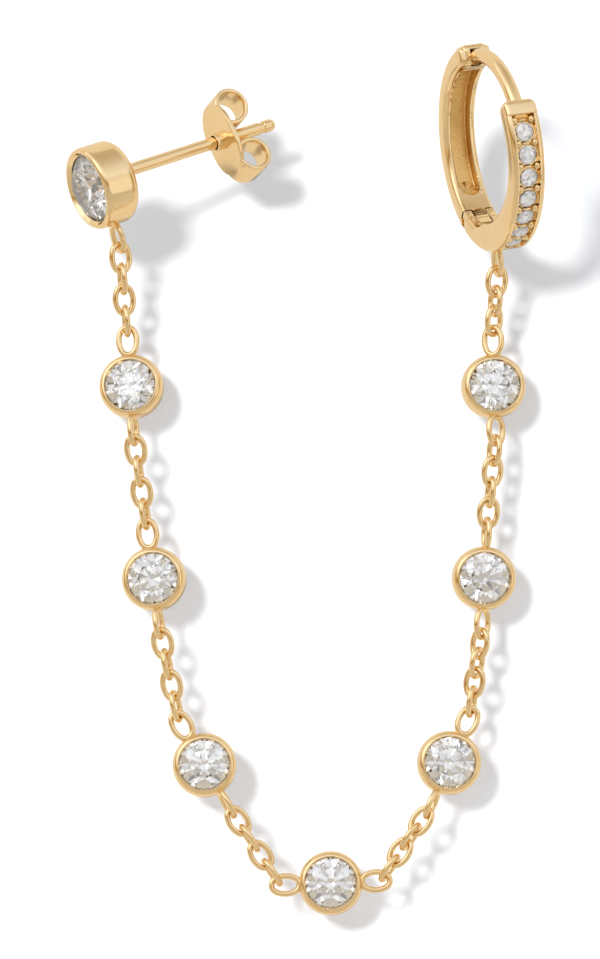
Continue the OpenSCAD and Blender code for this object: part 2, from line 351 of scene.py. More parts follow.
def rounding(
    middle: Pair,
    radii: Pair,
    start: float,
    end: float,
    steps: int = 6,
) -> list[Pair]:
    """Points on an ellipse's arc, for a lathe's profile.

    Args:
        middle: The ellipse's middle.
        radii: Its two radii.
        start: The first angle in degrees.
        end: The last angle in degrees.
        steps: The number of steps.

    Returns:
        The points.
    """
    angles = [math.radians(start + (end - start) * i / steps) for i in range(steps + 1)]
    return [
        (middle[0] + radii[0] * math.cos(a), middle[1] + radii[1] * math.sin(a)) for a in angles
    ]


def eased(value: float) -> float:
    """Eases a value from 0 to 1, flat at both ends."""
    share = min(max(value, 0), 1)
    return share * share * (3 - 2 * share)


def section(name: str, x: Pair, width: float, edge: float) -> Piece:
    """A flat section for a spin, in the XY plane, with round corners.

    Args:
        name: The piece's name.
        x: Its lowest and highest X.
        width: Its width along Y, about 0.
        edge: The corners' radius, or 0.

    Returns:
        The section, one face.
    """
    bpy.ops.mesh.primitive_plane_add(size=1, location=((x[0] + x[1]) / 2, 0, 0))
    piece = new_piece(name)
    with editing(piece):
        bpy.ops.mesh.select_all(action="SELECT")
        bpy.ops.transform.resize(value=(x[1] - x[0], width, 1))
        if edge:
            bpy.ops.mesh.bevel(offset=edge, segments=7, affect="VERTICES")
    return piece


def spun(piece: Piece, start: float, end: float, steps: int) -> Piece:
    """Sweeps a section in the XY plane about the hoop's axis.

    Args:
        piece: The section.
        start: The first angle in degrees, from X towards Z.
        end: The last angle in degrees.
        steps: The number of steps.

    Returns:
        The swept piece.
    """
    put(piece, turned(y=-start))
    with editing(piece, "FACE"):
        bpy.ops.mesh.select_all(action="SELECT")
        bpy.ops.mesh.spin(
            steps=steps, angle=math.radians(end - start), center=(0, 0, 0), axis=(0, 1, 0)
        )
    return outward(piece)


def pillow(
    name: str,
    radii: Pair,
    width: float,
    edge: float,
    length: float,
    ends: Pair,
) -> Piece:
    """Draws a band's section straight along Z and rounds both its ends like a pillow's.

    Args:
        name: The piece's name.
        radii: The section's lowest and highest X.
        width: Its width along Y.
        edge: Its corners' radius.
        length: How long it is, from Z = 0.
        ends: How deep its low and its high end are rounded.

    Returns:
        The block.
    """
    steps, last_angle = 7, 84
    block = section(name, radii, width, edge)
    middle = (radii[0] + radii[1]) / 2
    halves = ((radii[1] - radii[0]) / 2, width / 2)
    put(block, moved(0, 0, ends[0]))
    with editing(block, "FACE"):
        bpy.ops.mesh.select_all(action="SELECT")
        bpy.ops.mesh.extrude_region_move(
            TRANSFORM_OT_translate={"value": (0, 0, length - ends[0] - ends[1])}
        )
        for way, depth, z in ((1, ends[1], length - ends[1]), (-1, ends[0], ends[0])):
            pick(block, lambda at, z=z: abs(at.z - z) < MERGE_WITHIN, "FACE")
            gone, inset = 0.0, 0.0
            for step in range(1, steps + 1):
                a = math.radians(last_angle * step / steps)
                rise, draw = depth * math.sin(a), depth * (1 - math.cos(a))
                bpy.ops.mesh.extrude_region_move(
                    TRANSFORM_OT_translate={"value": (0, 0, way * (rise - gone))}
                )
                bpy.ops.transform.resize(
                    value=(
                        (halves[0] - draw) / (halves[0] - inset),
                        (halves[1] - draw) / (halves[1] - inset),
                        1,
                    ),
                    center_override=(middle, 0, z + way * rise),
                )
                gone, inset = rise, draw
    return smoothed(outward(block), 30)


# Finishes

Colour = tuple[float, float, float]
Socket = bpy.types.NodeSocket
Filling = float | tuple[float, ...] | Vector | Socket


class NodeDesk:
    """Adds nodes to a node tree and wires them."""

    def __init__(self, tree: bpy.types.NodeTree) -> None:
        """Takes the tree and clears it."""
        self.tree = tree
        tree.nodes.clear()

    def add(
        self, kind: str, inputs: dict[str | int, Filling] | None = None, **settings: object
    ) -> bpy.types.Node:
        """Adds a node and fills its inputs.

        Args:
            kind: The node's type without the word ShaderNode.
            inputs: For each input, by name or number, its value or the output that it is wired to.
            settings: The node's properties by name.

        Returns:
            The node.
        """
        node = self.tree.nodes.new(kind if "Node" in kind else "ShaderNode" + kind)
        for name, value in settings.items():
            setattr(node, name, value)
        for name, value in (inputs or {}).items():
            if isinstance(value, Socket):
                self.tree.links.new(value, node.inputs[name])
            else:
                node.inputs[name].default_value = value
        return node

    def place(self) -> Socket:
        """The place on the piece, for a texture."""
        return self.add("TexCoord").outputs["Object"]

    def mix(self, share: Socket, first: Socket | Colour, second: Socket | Colour) -> Socket:
        """Mixes two colours.

        Args:
            share: The second colour's share.
            first: The first colour.
            second: The second colour.

        Returns:
            The mixed colour.
        """
        ends = [end if isinstance(end, Socket) else (*end, 1) for end in (first, second)]
        inputs = dict(zip(("Factor", "A", "B"), (share, *ends)))
        return self.add("Mix", inputs, data_type="RGBA").outputs["Result"]

    def remap(
        self,
        value: Socket,
        given: Pair = (0, 1),
        wanted: Pair = (0, 1),
        kind: str = "LINEAR",
    ) -> Socket:
        """Maps a value from one range to another, and no further.

        Args:
            value: The value.
            given: The range that it has.
            wanted: The range that it gets.
            kind: How it goes from end to end.

        Returns:
            The mapped value.
        """
        names = ("Value", "From Min", "From Max", "To Min", "To Max")
        inputs = dict(zip(names, (value, *given, *wanted)))
        return self.add("MapRange", inputs, interpolation_type=kind).outputs["Result"]

    def ramp(self, value: Socket, stops: Iterable[tuple[float, Colour]]) -> Socket:
        """Looks a value up in a row of colours.

        Args:
            value: The value.
            stops: Each colour's place and the colour.

        Returns:
            The colour.
        """
        node = self.add("ValToRGB", {"Fac": value})
        elements = node.color_ramp.elements
        stops = list(stops)
        while len(elements) < len(stops):
            elements.new(0.5)
        for element, (at, tone) in zip(elements, stops):
            element.position = at
            element.color = (*tone, 1)
        return node.outputs["Color"]

    def bump(self, height: Socket, strength: float, distance: float) -> Socket:
        """Turns a height into a normal."""
        inputs = {"Height": height, "Strength": strength, "Distance": distance}
        return self.add("Bump", inputs).outputs["Normal"]


def new_material(name: str) -> tuple[bpy.types.Material, NodeDesk]:
    """Starts a material.

    Args:
        name: Its name.

    Returns:
        The material, and the desk for its nodes.
    """
    material = bpy.data.materials.new(name)
    material.use_nodes = True
    return material, NodeDesk(material.node_tree)


def finish_metal(desk: NodeDesk, tone: Socket, gloss: Socket, normal: Socket) -> None:
    """Gives a material's desk its metal shader.

    Args:
        desk: The desk.
        tone: The metal's colour.
        gloss: Its roughness.
        normal: Its normal.
    """
    inputs = {"Metallic": 1.0, "Base Color": tone, "Roughness": gloss, "Normal": normal}
    shader = desk.add("BsdfPrincipled", inputs)
    desk.add("OutputMaterial", {"Surface": shader.outputs["BSDF"]})


@dataclass(frozen=True)
class WearGroup:
    """A shared effect of handling: soft clouds in tone and gloss, and fine rubbed lines."""

    name: str = "rubbed_metal"
    cloud_scale: float = 900.0
    line_scale: float = 9000.0
    line_stretch: Colour = (1.0, 1.0, 0.18)
    line_turn: Colour = (0.5, 0.3, 0.8)

    def tree(self) -> bpy.types.NodeTree:
        """Builds the node group.

        Returns:
            The node group, with the outputs Tone, Gloss and Height.
        """
        tree = bpy.data.node_groups.new(self.name, "ShaderNodeTree")
        for socket in ("Tone", "Gloss", "Height"):
            tree.interface.new_socket(socket, in_out="OUTPUT", socket_type="NodeSocketFloat")
        desk = NodeDesk(tree)
        place = desk.place()
        cloud = desk.add("TexNoise", {"Vector": place, "Scale": self.cloud_scale, "Detail": 3})
        mapped = desk.add(
            "Mapping", {"Vector": place, "Scale": self.line_stretch, "Rotation": self.line_turn}
        )
        lines = desk.add(
            "TexNoise",
            {
                "Vector": mapped.outputs["Vector"],
                "Scale": self.line_scale,
                "Detail": 4,
                "Roughness": 0.7,
            },
        )
        clouds, rubs = cloud.outputs["Fac"], lines.outputs["Fac"]
        both = desk.add("Math", {0: clouds, 1: rubs}, operation="MULTIPLY").outputs["Value"]
        desk.add("NodeGroupOutput", {"Tone": clouds, "Gloss": both, "Height": rubs})
        return tree


@dataclass(frozen=True)
class Gold:
    """Polished yellow gold with the faint clouds and rubbed lines of real plating."""

    name: str = "polished_gold"
    light: Colour = (0.95, 0.745, 0.455)
    deep: Colour = (0.89, 0.66, 0.35)
    wear_seen: Pair = (0.12, 0.4)
    gloss: Pair = (0.045, 0.15)
    relief: float = 0.012
    relief_depth: float = 0.00002

    def material(self) -> bpy.types.Material:
        """Builds the material.

        Returns:
            The material.
        """
        material, desk = new_material(self.name)
        wear = desk.add("Group", node_tree=WearGroup().tree()).outputs
        finish_metal(
            desk,
            desk.mix(wear["Tone"], self.deep, self.light),
            desk.remap(wear["Gloss"], self.wear_seen, self.gloss),
            desk.bump(wear["Height"], self.relief, self.relief_depth),
        )
        return material


@dataclass(frozen=True)
class CastGoldInShade:
    """The unpolished gold inside the hoop's hollow, grainy from the casting, and darkened to a
    brown-orange that is painted shade of the recess.
    """

    name: str = "cast_gold_and_shade"
    light: Colour = (0.93, 0.66, 0.30)
    # deep: painted shade, the dark brown-orange of the hollow's recess
    deep: Colour = (0.62, 0.35, 0.10)
    gloss: Pair = (0.18, 0.42)
    grain: float = 7000.0
    relief: float = 0.55
    relief_depth: float = 0.00006

    def material(self) -> bpy.types.Material:
        """Builds the material.

        Returns:
            The material.
        """
        material, desk = new_material(self.name)
        place = desk.place()
        grain = desk.add("TexVoronoi", {"Vector": place, "Scale": self.grain})
        cloud = desk.add("TexNoise", {"Vector": place, "Scale": self.grain / 4, "Detail": 5})
        clouds = cloud.outputs["Fac"]
        grains = {0: grain.outputs["Distance"], 1: clouds}
        height = desk.add("Math", grains, operation="MULTIPLY").outputs["Value"]
        finish_metal(
            desk,
            desk.mix(clouds, self.deep, self.light),
            desk.remap(clouds, wanted=self.gloss),
            desk.bump(height, self.relief, self.relief_depth),
        )
        return material


@dataclass(frozen=True)
class ClearStone:
    """A clear cut stone, in patches with the faintest uneven tone and polish; where it is not fully
    clear, the milky share shows the patches as white and grey, painted sparkle of lit and dark
    facets.
    """

    name: str = "clear_stone"
    index: float = 2.4
    tint: Colour = (0.975, 0.985, 1.0)
    clear: float = 1.0
    tone_and_sparkle_size: float = 1600.0
    shade: float = 0.975
    gloss: Pair = (0.0, 0.02)

    def material(self) -> bpy.types.Material:
        """Builds the material.

        Returns:
            The material.
        """
        material, desk = new_material(self.name)
        place = desk.place()
        # Patches: a faint tone where the stone is clear, painted sparkle in its milky share.
        tone_and_sparkle_patches = desk.add("TexVoronoi", {"Vector": place, "Scale": self.tone_and_sparkle_size})
        grey = desk.add("SeparateColor", {"Color": tone_and_sparkle_patches.outputs["Color"]}).outputs
        shaded = tuple(part * self.shade for part in self.tint)
        shader = desk.add(
            "BsdfPrincipled",
            {
                "IOR": self.index,
                "Transmission Weight": self.clear,
                "Base Color": desk.mix(grey["Red"], shaded, (1, 1, 1)),
                "Roughness": desk.remap(grey["Green"], wanted=self.gloss),
            },
        )
        desk.add("OutputMaterial", {"Surface": shader.outputs["BSDF"]})
        return material


# The pavé and stud stones are partly milky, so their white and grey patches are painted sparkle.
SMALL_STONE = ClearStone("small_stone", clear=0.36, tone_and_sparkle_size=6000.0, shade=0.5)
LARGE_STONE = ClearStone("large_stone", clear=0.9, tone_and_sparkle_size=2200.0, shade=0.9)


@dataclass(frozen=True)
class Paper:
    """The matt white ground, which shows from its front only; its reflection in the metal is
    painted darker and warmer.
    """

    name: str = "white_ground"
    light: Colour = (0.93, 0.93, 0.93)
    deep: Colour = (0.92, 0.922, 0.928)
    # mirrored: a painted reflection, the ground's darker, warmer tone as the metal mirrors it
    mirrored: Colour = (0.68, 0.61, 0.50)
    fibre: float = 700.0

    def material(self) -> bpy.types.Material:
        """Builds the material.

        Returns:
            The material.
        """
        material, desk = new_material(self.name)
        place = desk.place()
        fibre = desk.add("TexNoise", {"Vector": place, "Scale": self.fibre}).outputs["Fac"]
        # Painted reflection: rays that the metal mirrors see the mirrored tone, not the ground's
        # white.
        glossy = desk.add("LightPath").outputs["Is Glossy Ray"]
        tone = desk.mix(glossy, desk.mix(fibre, self.deep, self.light), self.mirrored)
        inputs = {"Base Color": tone, "Roughness": 0.95, "Specular IOR Level": 0.1}
        either = desk.add(
            "MixShader",
            {
                "Fac": desk.add("NewGeometry").outputs["Backfacing"],
                1: desk.add("BsdfPrincipled", inputs).outputs["BSDF"],
                2: desk.add("BsdfTransparent").outputs["BSDF"],
            },
        )
        desk.add("OutputMaterial", {"Surface": either.outputs["Shader"]})
        return material


@dataclass
class Finishes:
    """The finishes, each built once."""

    gold: bpy.types.Material = field(default_factory=Gold().material)
    cast: bpy.types.Material = field(default_factory=CastGoldInShade().material)
    stone: bpy.types.Material = field(default_factory=ClearStone().material)
    small_stone: bpy.types.Material = field(default_factory=SMALL_STONE.material)
    large_stone: bpy.types.Material = field(default_factory=LARGE_STONE.material)


# The chain's route, which repeats the part's own


@dataclass(frozen=True)
class Stretch:
    """A stretch of links between two settings."""

    links: int
    heading: float
    lean: float
    slack: float
    roll: float
    turn: float


@dataclass(frozen=True)
class Stop:
    """How a station sits on the chain."""

    heading: float
    turn: float
    tilt: float
    first_roll: float
    last_roll: float


@dataclass(frozen=True)
class Wire:
    """The chain's link."""

    length: float = 2.04
    width: float = 1.45
    wire: float = 0.36
    gap: float = 0.04
    ring_gap: float = 0.05
    solder_in: float = 0.2
    end_bend: float = 0.46
    sides: int = 20
    steps: int = 8

    @property
    def straight(self) -> float:
        """How much longer than wide a link is."""
        return self.length - self.width

    @property
    def pitch(self) -> float:
        """The step from link to link."""
        return self.length - 2 * self.wire - self.gap

    @property
    def ring_out(self) -> float:
        """How far a soldered ring's middle stands off its wall."""
        return self.length / 2 - self.solder_in

    @property
    def ring_step(self) -> float:
        """The step from a soldered ring to the next link."""
        return self.pitch - self.straight / 2 - self.ring_gap

    def model(self, name: str) -> Piece:
        """Models one link, long along X and flat in XZ: round wire spun along an oval's arcs.

        Args:
            name: The piece's name.

        Returns:
            The link.
        """
        end = (self.length - self.wire) / 2 - self.end_bend
        short = (self.width - self.wire) / 2 - self.end_bend
        side = (end * end - short * short) / (2 * short)
        turn = math.atan2(side, end)
        bpy.ops.mesh.primitive_circle_add(
            vertices=self.sides, radius=self.wire / 2, location=(end + self.end_bend, 0, 0)
        )
        link = new_piece(name)
        arcs = (
            (end, 0, turn, self.steps),
            (0, -side, math.pi - 2 * turn, self.steps),
            (-end, 0, 2 * turn, 2 * self.steps),
            (0, side, math.pi - 2 * turn, self.steps),
            (end, 0, turn, self.steps),
        )
        with editing(link, "EDGE"):
            bpy.ops.mesh.select_all(action="SELECT")
            for x, z, angle, steps in arcs:
                bpy.ops.mesh.spin(steps=steps, angle=angle, center=(x, 0, z), axis=(0, 1, 0))
        return smoothed(outward(link), 60)


@dataclass(frozen=True)
class Cup:
    """A closed round setting, face up, with the middle of its stone's girdle at the origin."""

    stone: float
    wall: float
    rim: float
    floor: float
    foot: float
    gap: float = 0.03
    bevel: float = 0.1
    shoulder: float = 0.5
    crown: float = 0.15
    girdle: float = 0.03
    pavilion: float = 0.43
    table: float = 0.57
    lip_over: float = 0.05
    lip_edge: float = 0.03
    floor_hole: Pair = (0.12, 0.1)

    @property
    def radius(self) -> float:
        """The cup's outer radius."""
        return self.stone / 2 + self.gap + self.wall

    @property
    def spare(self) -> float:
        """The room above and below the stone."""
        return 1.5 * self.gap

    @property
    def seat_low(self) -> float:
        """The height of the seat's lowest point."""
        return -(self.girdle / 2 + self.pavilion) * self.stone - self.spare

    @property
    def back(self) -> float:
        """The height of the cup's back."""
        return self.seat_low - self.floor

    @property
    def depth(self) -> float:
        """The cup's depth."""
        return self.rim - self.back

    def model(self, name: str) -> Piece:
        """Turns the cup on the lathe.

        Args:
            name: The piece's name.

        Returns:
            The cup.
        """
        outer, foot, edge = self.radius, self.foot, self.lip_edge
        seat = self.stone / 2 + self.gap
        lip = self.stone / 2 - self.lip_over
        lip_z = self.stone * self.girdle / 2 + self.spare
        lip_top = lip_z + 2 * self.crown / (1 - self.table) * (seat - lip)
        crest = lip + self.bevel
        shoulder = (outer - crest, self.shoulder)
        hole, rise = self.floor_hole
        profile: list[Pair] = [(0, self.back)]
        profile += rounding((outer - foot, self.back + foot), (foot, foot), -90, 0, 12)
        profile += rounding((crest, self.rim - self.shoulder), shoulder, 0, 86, 12)
        profile += rounding((crest, self.rim - edge), (edge, edge), 90, 170, 3)
        profile += [(lip, lip_top), (seat, lip_z), (seat, 2 * self.pavilion * self.gap - lip_z)]
        profile += [(hole, self.seat_low + rise), (0, self.seat_low)]
        return smoothed(lathe(name, profile, 112), 34)


STATION_CUP = Cup(stone=3.1, wall=0.345, rim=0.36, floor=0.16, foot=0.85)
STUD_CUP = Cup(stone=4.2, wall=0.42, rim=0.38, floor=0.16, foot=0.75, bevel=0.24, shoulder=0.36)
FACE_FORWARD = turned(x=90)
HOOP_RADIUS = 6.25
HOOP_RING_AT = 255.0


@dataclass(frozen=True)
class StudPlace:
    """Where the stud sits."""

    turn: float = -61.3
    rise: float = 16.8
    post_up: float = 0.35

    @property
    def frame(self) -> Matrix:
        """The stud's frame, with Y along the post."""
        return turned(x=self.rise, z=self.turn)

    @property
    def face(self) -> Matrix:
        """The cup's place."""
        return self.frame @ moved(0, STUD_CUP.back, -self.post_up) @ FACE_FORWARD

    @property
    def ring(self) -> Matrix:
        """The frame that the stud's chain ring is soldered in."""
        return self.frame @ moved(0, -STUD_CUP.depth / 2, -self.post_up) @ turned(y=90)


@dataclass(frozen=True)
class HoopPlace:
    """How the hoop is turned."""

    radius: float = HOOP_RADIUS
    turn: float = -71.0
    lean: float = 8.5
    ring_at: float = HOOP_RING_AT

    @property
    def way(self) -> Matrix:
        """The hoop's turn."""
        return turned(y=-self.lean) @ turned(z=self.turn)

    def ring_way(self) -> Vector:
        """The way along the chain at the hoop's ring."""
        a = math.radians(self.ring_at)
        return -(self.way @ Vector((math.cos(a), 0, math.sin(a))))


@dataclass
class Route:
    """The chain's route from the stud to the hoop."""

    wire: Wire = field(default_factory=Wire)
    stud: StudPlace = field(default_factory=StudPlace)
    hoop: HoopPlace = field(default_factory=HoopPlace)
    stretches: tuple[Stretch, ...] = (
        Stretch(4, -85, 2, 0.00, -18, 93),
        Stretch(4, -82, 4, -0.02, 10, 92),
        Stretch(4, -78, 3, -0.02, 14, 92),
        Stretch(4, -56.5, 2, 0.04, -12, 90),
        Stretch(4, 56, -2, 0.14, 73, 87),
        Stretch(4, 82, -3, 0.10, 73, 82),
        Stretch(4, 84.5, -3, 0.02, 8, 98),
        Stretch(3, 86, -2, 0.09, 225, 75),
    )
    stops: tuple[Stop, ...] = (
        Stop(-85, -8, 9, 0, 102),
        Stop(-82, -8, 5, 0, 102),
        Stop(-60, 0, 6, 0, 77),
        Stop(2.5, 0, 5.5, 0, 0),
        Stop(66, 5, 6, 70, 0),
        Stop(87, 5, 2, 45, 100),
        Stop(90.5, 8, 8, 32, 150),
    )
    links: list[tuple[str, Matrix]] = field(default_factory=list)
    stations: list[Matrix] = field(default_factory=list)
    rings: list[tuple[Matrix, Matrix]] = field(default_factory=list)
    hoop_frame: Matrix = field(default_factory=Matrix)

    def __post_init__(self) -> None:
        """Walks along the chain and notes every place."""
        wire, x = self.wire, Vector((1, 0, 0))
        at = self.stud.frame @ Vector(
            (0, -STUD_CUP.depth / 2, -(self.stud.post_up + STUD_CUP.radius + wire.ring_out))
        )
        ring_way = self.stud.frame.to_3x3() @ Vector((0, 0, -1))
        for s, stretch in enumerate(self.stretches):
            lie = turned(y=-stretch.heading) @ turned(z=stretch.lean)
            way = lie @ x
            at = at + ring_way * wire.straight / 2 + wire.ring_step * way
            for i in range(stretch.links):
                roll = turned(x=stretch.roll + i * stretch.turn)
                self.links.append((f"link_{s}_{i}", moved(at) @ lie @ roll))
                at = at + (wire.pitch - stretch.slack) * way
            at = at + (wire.ring_step - wire.pitch + stretch.slack) * way
            if s == len(self.stops):
                ring_way = self.hoop.ring_way()
                at = at + ring_way * wire.straight / 2
                break
            stop = self.stops[s]
            face = turned(x=-stop.tilt, z=stop.turn)
            ring_way = face @ turned(y=-stop.heading) @ x
            at = at + ring_way * wire.straight / 2
            at = at + (STATION_CUP.radius + wire.ring_out) * ring_way
            here = moved(at) @ face
            self.stations.append(here)
            along = here @ turned(y=-stop.heading)
            self.rings.append(
                (
                    along @ self.ring(STATION_CUP.radius, stop.last_roll),
                    along @ turned(y=180) @ self.ring(STATION_CUP.radius, -stop.first_roll),
                )
            )
            at = at + (STATION_CUP.radius + wire.ring_out) * ring_way
        self.hoop_frame = moved(at + (self.hoop.radius + wire.ring_out) * ring_way) @ self.hoop.way

    def ring(self, radius: float, roll: float) -> Matrix:
        """A soldered ring's place on a round wall, along X."""
        return moved(radius + self.wire.ring_out, 0, 0) @ turned(x=roll)


# Handing a piece over


@dataclass
class Showcase:
    """Puts finished pieces in the row frame and reports them."""

    finishes: Finishes
    count: int = 0

    def show(
        self,
        piece: Piece,
        place: Matrix,
        nodes: tuple[str, ...],
        body: Body = Body.ROOT,
    ) -> None:
        """Puts a piece of gold in its place, in metres, hides the nodes that it stands for and logs
        them.

        Args:
            piece: The piece.
            place: Its place in millimetres.
            nodes: The nodes that it stands for.
            body: The body that it rides on.
        """
        if not piece.data.materials:
            piece.data.materials.append(self.finishes.gold)
        put(piece, sized(MM, MM, MM) @ place)
        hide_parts(*nodes)
        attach(piece, body.value)
        self.count += 1
        LOG.info("%s stands for %s", piece.name, ", ".join(nodes))

    def dress(self, node: str, finish: bpy.types.Material) -> None:
        """Gives a carried-over node its finish.

        Args:
            node: The node.
            finish: The material.
        """
        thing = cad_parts[node]
        thing.data.materials.clear()
        thing.data.materials.append(finish)
        self.count += 1
        LOG.info("%s keeps its shape", node)


# Sub-assemblies


@dataclass
class Assembly:
    """What each sub-assembly has: its way through the earring, and where its pieces go."""

    route: Route
    showcase: Showcase


@dataclass
class Chain(Assembly):
    """The cable chain: free links, and stations with their rings soldered on."""

    def build(self) -> None:
        """Builds the links and the stations."""
        link = self.route.wire.model("link_model")
        for name, place in self.route.links:
            self.showcase.show(copied(link, f"cable_{name}", Matrix()), place, (name,))
        cup = STATION_CUP.model("station_model")
        for k, (here, rings) in enumerate(zip(self.route.stations, self.route.rings)):
            body = copied(cup, f"bezel_{k + 1}", here @ FACE_FORWARD)
            soldered = [copied(link, "ring", place) for place in rings]
            joined(body, *soldered)
            self.showcase.show(body, Matrix(), (f"station_{k + 1}",))
            self.showcase.dress(f"stone_{k + 1}", self.showcase.finishes.stone)
        drop(link, cup)


@dataclass
class Stud(Assembly):
    """The stud: cup, post and chain ring in one, and its stone."""

    post: float = 0.76
    post_l: float = 11.15
    groove_back: float = 1.15
    groove_w: float = 0.35
    groove_depth: float = 0.06
    groove_slope: Pair = (0.02, 0.05)
    fillet: tuple[Pair, ...] = ((0.16, -0.1), (0.1, 0.02), (0.03, 0.1), (0.0, 0.25))

    def make_post(self) -> Piece:
        """Turns the post, with its groove and its rounded tip.

        Returns:
            The post, along Z from the cup's floor.
        """
        r = self.post / 2
        deep = r - self.groove_depth
        low = self.post_l - self.groove_back
        high = low + self.groove_w
        out, within = self.groove_slope
        profile = [(0.0, self.fillet[0][1])] + [(r + wider, z) for wider, z in self.fillet]
        profile += [(r, low - out), (deep, low + within), (deep, high - within), (r, high + out)]
        profile += rounding((0, self.post_l - r), (r, r), 0, 80, 8)
        profile += [(0, self.post_l)]
        return smoothed(lathe("post", profile, 48), 40)

    def build(self) -> None:
        """Builds the stud."""
        place = self.route.stud
        cup = put(STUD_CUP.model("stud_cup"), place.face)
        post = put(self.make_post(), place.frame @ turned(x=-90))
        ring = self.route.wire.model("stud_ring")
        put(ring, place.ring @ self.route.ring(STUD_CUP.radius, 0))
        joined(cup, post, ring)
        cup.name = cup.data.name = "stud"
        self.showcase.show(cup, Matrix(), ("stud_setting",))
        self.showcase.dress("stud_stone", self.showcase.finishes.large_stone)


@dataclass
class Butterfly(Assembly):
    """The butterfly back: a pierced plate with a collar, and two rolled scrolls."""

    at: float = 7.3
    turn: float = 68.0
    strip_t: float = 0.3
    strip_w: float = 2.3
    plate_r: float = 1.8
    plate_out: float = 0.5
    scroll_r: float = 1.2
    bore: float = 0.41
    collar_l: float = 0.5
    collar_wall: float = 0.13
    collar_edge: float = 0.05
    collar_mouth: float = 0.12
    plate_edge: float = 0.08
    strip_edge: float = 0.09
    roll: float = 302.0
    roll_steps: int = 44
    strip_thinner: float = 0.04
    tighter: float = 0.9968
    tighter_from: int = 8
    narrower: float = 0.989
    narrower_from: int = 6

    def make_plate(self) -> Piece:
        """Models the plate: a disc drawn out along X, with slight waists and round edges.

        Returns:
            The plate, in the XZ plane.
        """
        bpy.ops.mesh.primitive_cylinder_add(
            vertices=96, radius=self.plate_r, depth=self.strip_t, end_fill_type="NGON"
        )
        plate = new_piece("plate")
        with editing(plate):
            for side in (-1, 1):
                pick(plate, lambda at, side=side: side * at.x > 0.01)
                bpy.ops.transform.translate(value=(side * self.plate_out, 0, 0))
        softened(plate, self.plate_edge, 4)
        bore = lathe("bore", [(0, -1), (self.bore, -1), (self.bore, 1), (0, 1)], 48)
        cut(plate, bore)
        return put(plate, moved(0, self.strip_t / 2, 0) @ turned(x=90))

    def make_scroll(self) -> Piece:
        """Rolls one scroll: the strip's end is extruded and turned step by step, growing narrower.

        Returns:
            The scroll on the side of +X.
        """
        out = self.bore + self.scroll_r
        middle = (out, self.scroll_r, 0)
        bpy.ops.mesh.primitive_plane_add(size=1, rotation=(0, math.pi / 2, 0))
        scroll = new_piece("scroll")
        with editing(scroll, "FACE"):
            bpy.ops.mesh.select_all(action="SELECT")
            bpy.ops.transform.resize(value=(1, self.strip_t - self.strip_thinner, self.strip_w))
            bpy.ops.transform.translate(value=(out - 0.5, self.strip_t / 2, 0))
            bpy.ops.mesh.bevel(offset=self.strip_edge, segments=3, affect="VERTICES")
            bpy.ops.mesh.extrude_region_move(TRANSFORM_OT_translate={"value": (0.5, 0, 0)})
            for step in range(self.roll_steps):
                bpy.ops.mesh.extrude_region_move(TRANSFORM_OT_translate={"value": (0, 0, 0)})
                bpy.ops.transform.rotate(
                    value=-math.radians(self.roll / self.roll_steps),
                    orient_axis="Z",
                    orient_type="GLOBAL",
                    center_override=middle,
                )
                tighter = self.tighter if step > self.tighter_from else 1.0
                narrower = self.narrower if step > self.narrower_from else 1.0
                bpy.ops.transform.resize(value=(tighter, tighter, narrower), center_override=middle)
        return outward(scroll)

    def build(self) -> None:
        """Builds the butterfly."""
        plate = self.make_plate()
        scroll = self.make_scroll()
        other = copied(scroll, "other_scroll", turned(y=180))
        inner, outer = self.bore, self.bore + self.collar_wall
        top, long, edge = self.strip_t, self.collar_l, self.collar_edge
        profile = [(inner, -top), (outer, -top)]
        profile += rounding((outer - edge, long - edge), (edge, edge), 0, 90, 3)
        profile += [(inner + edge, long), (inner, long - self.collar_mouth), (inner, -top)]
        collar = put(lathe("collar", profile, 48), turned(x=90))
        joined(plate, scroll, other, collar)
        plate.name = plate.data.name = "butterfly"
        smoothed(plate, 38)
        place = self.route.stud.frame @ moved(0, self.at, 0) @ turned(y=self.turn)
        self.showcase.show(plate, place, ("butterfly_back",), Body.BUTTERFLY)


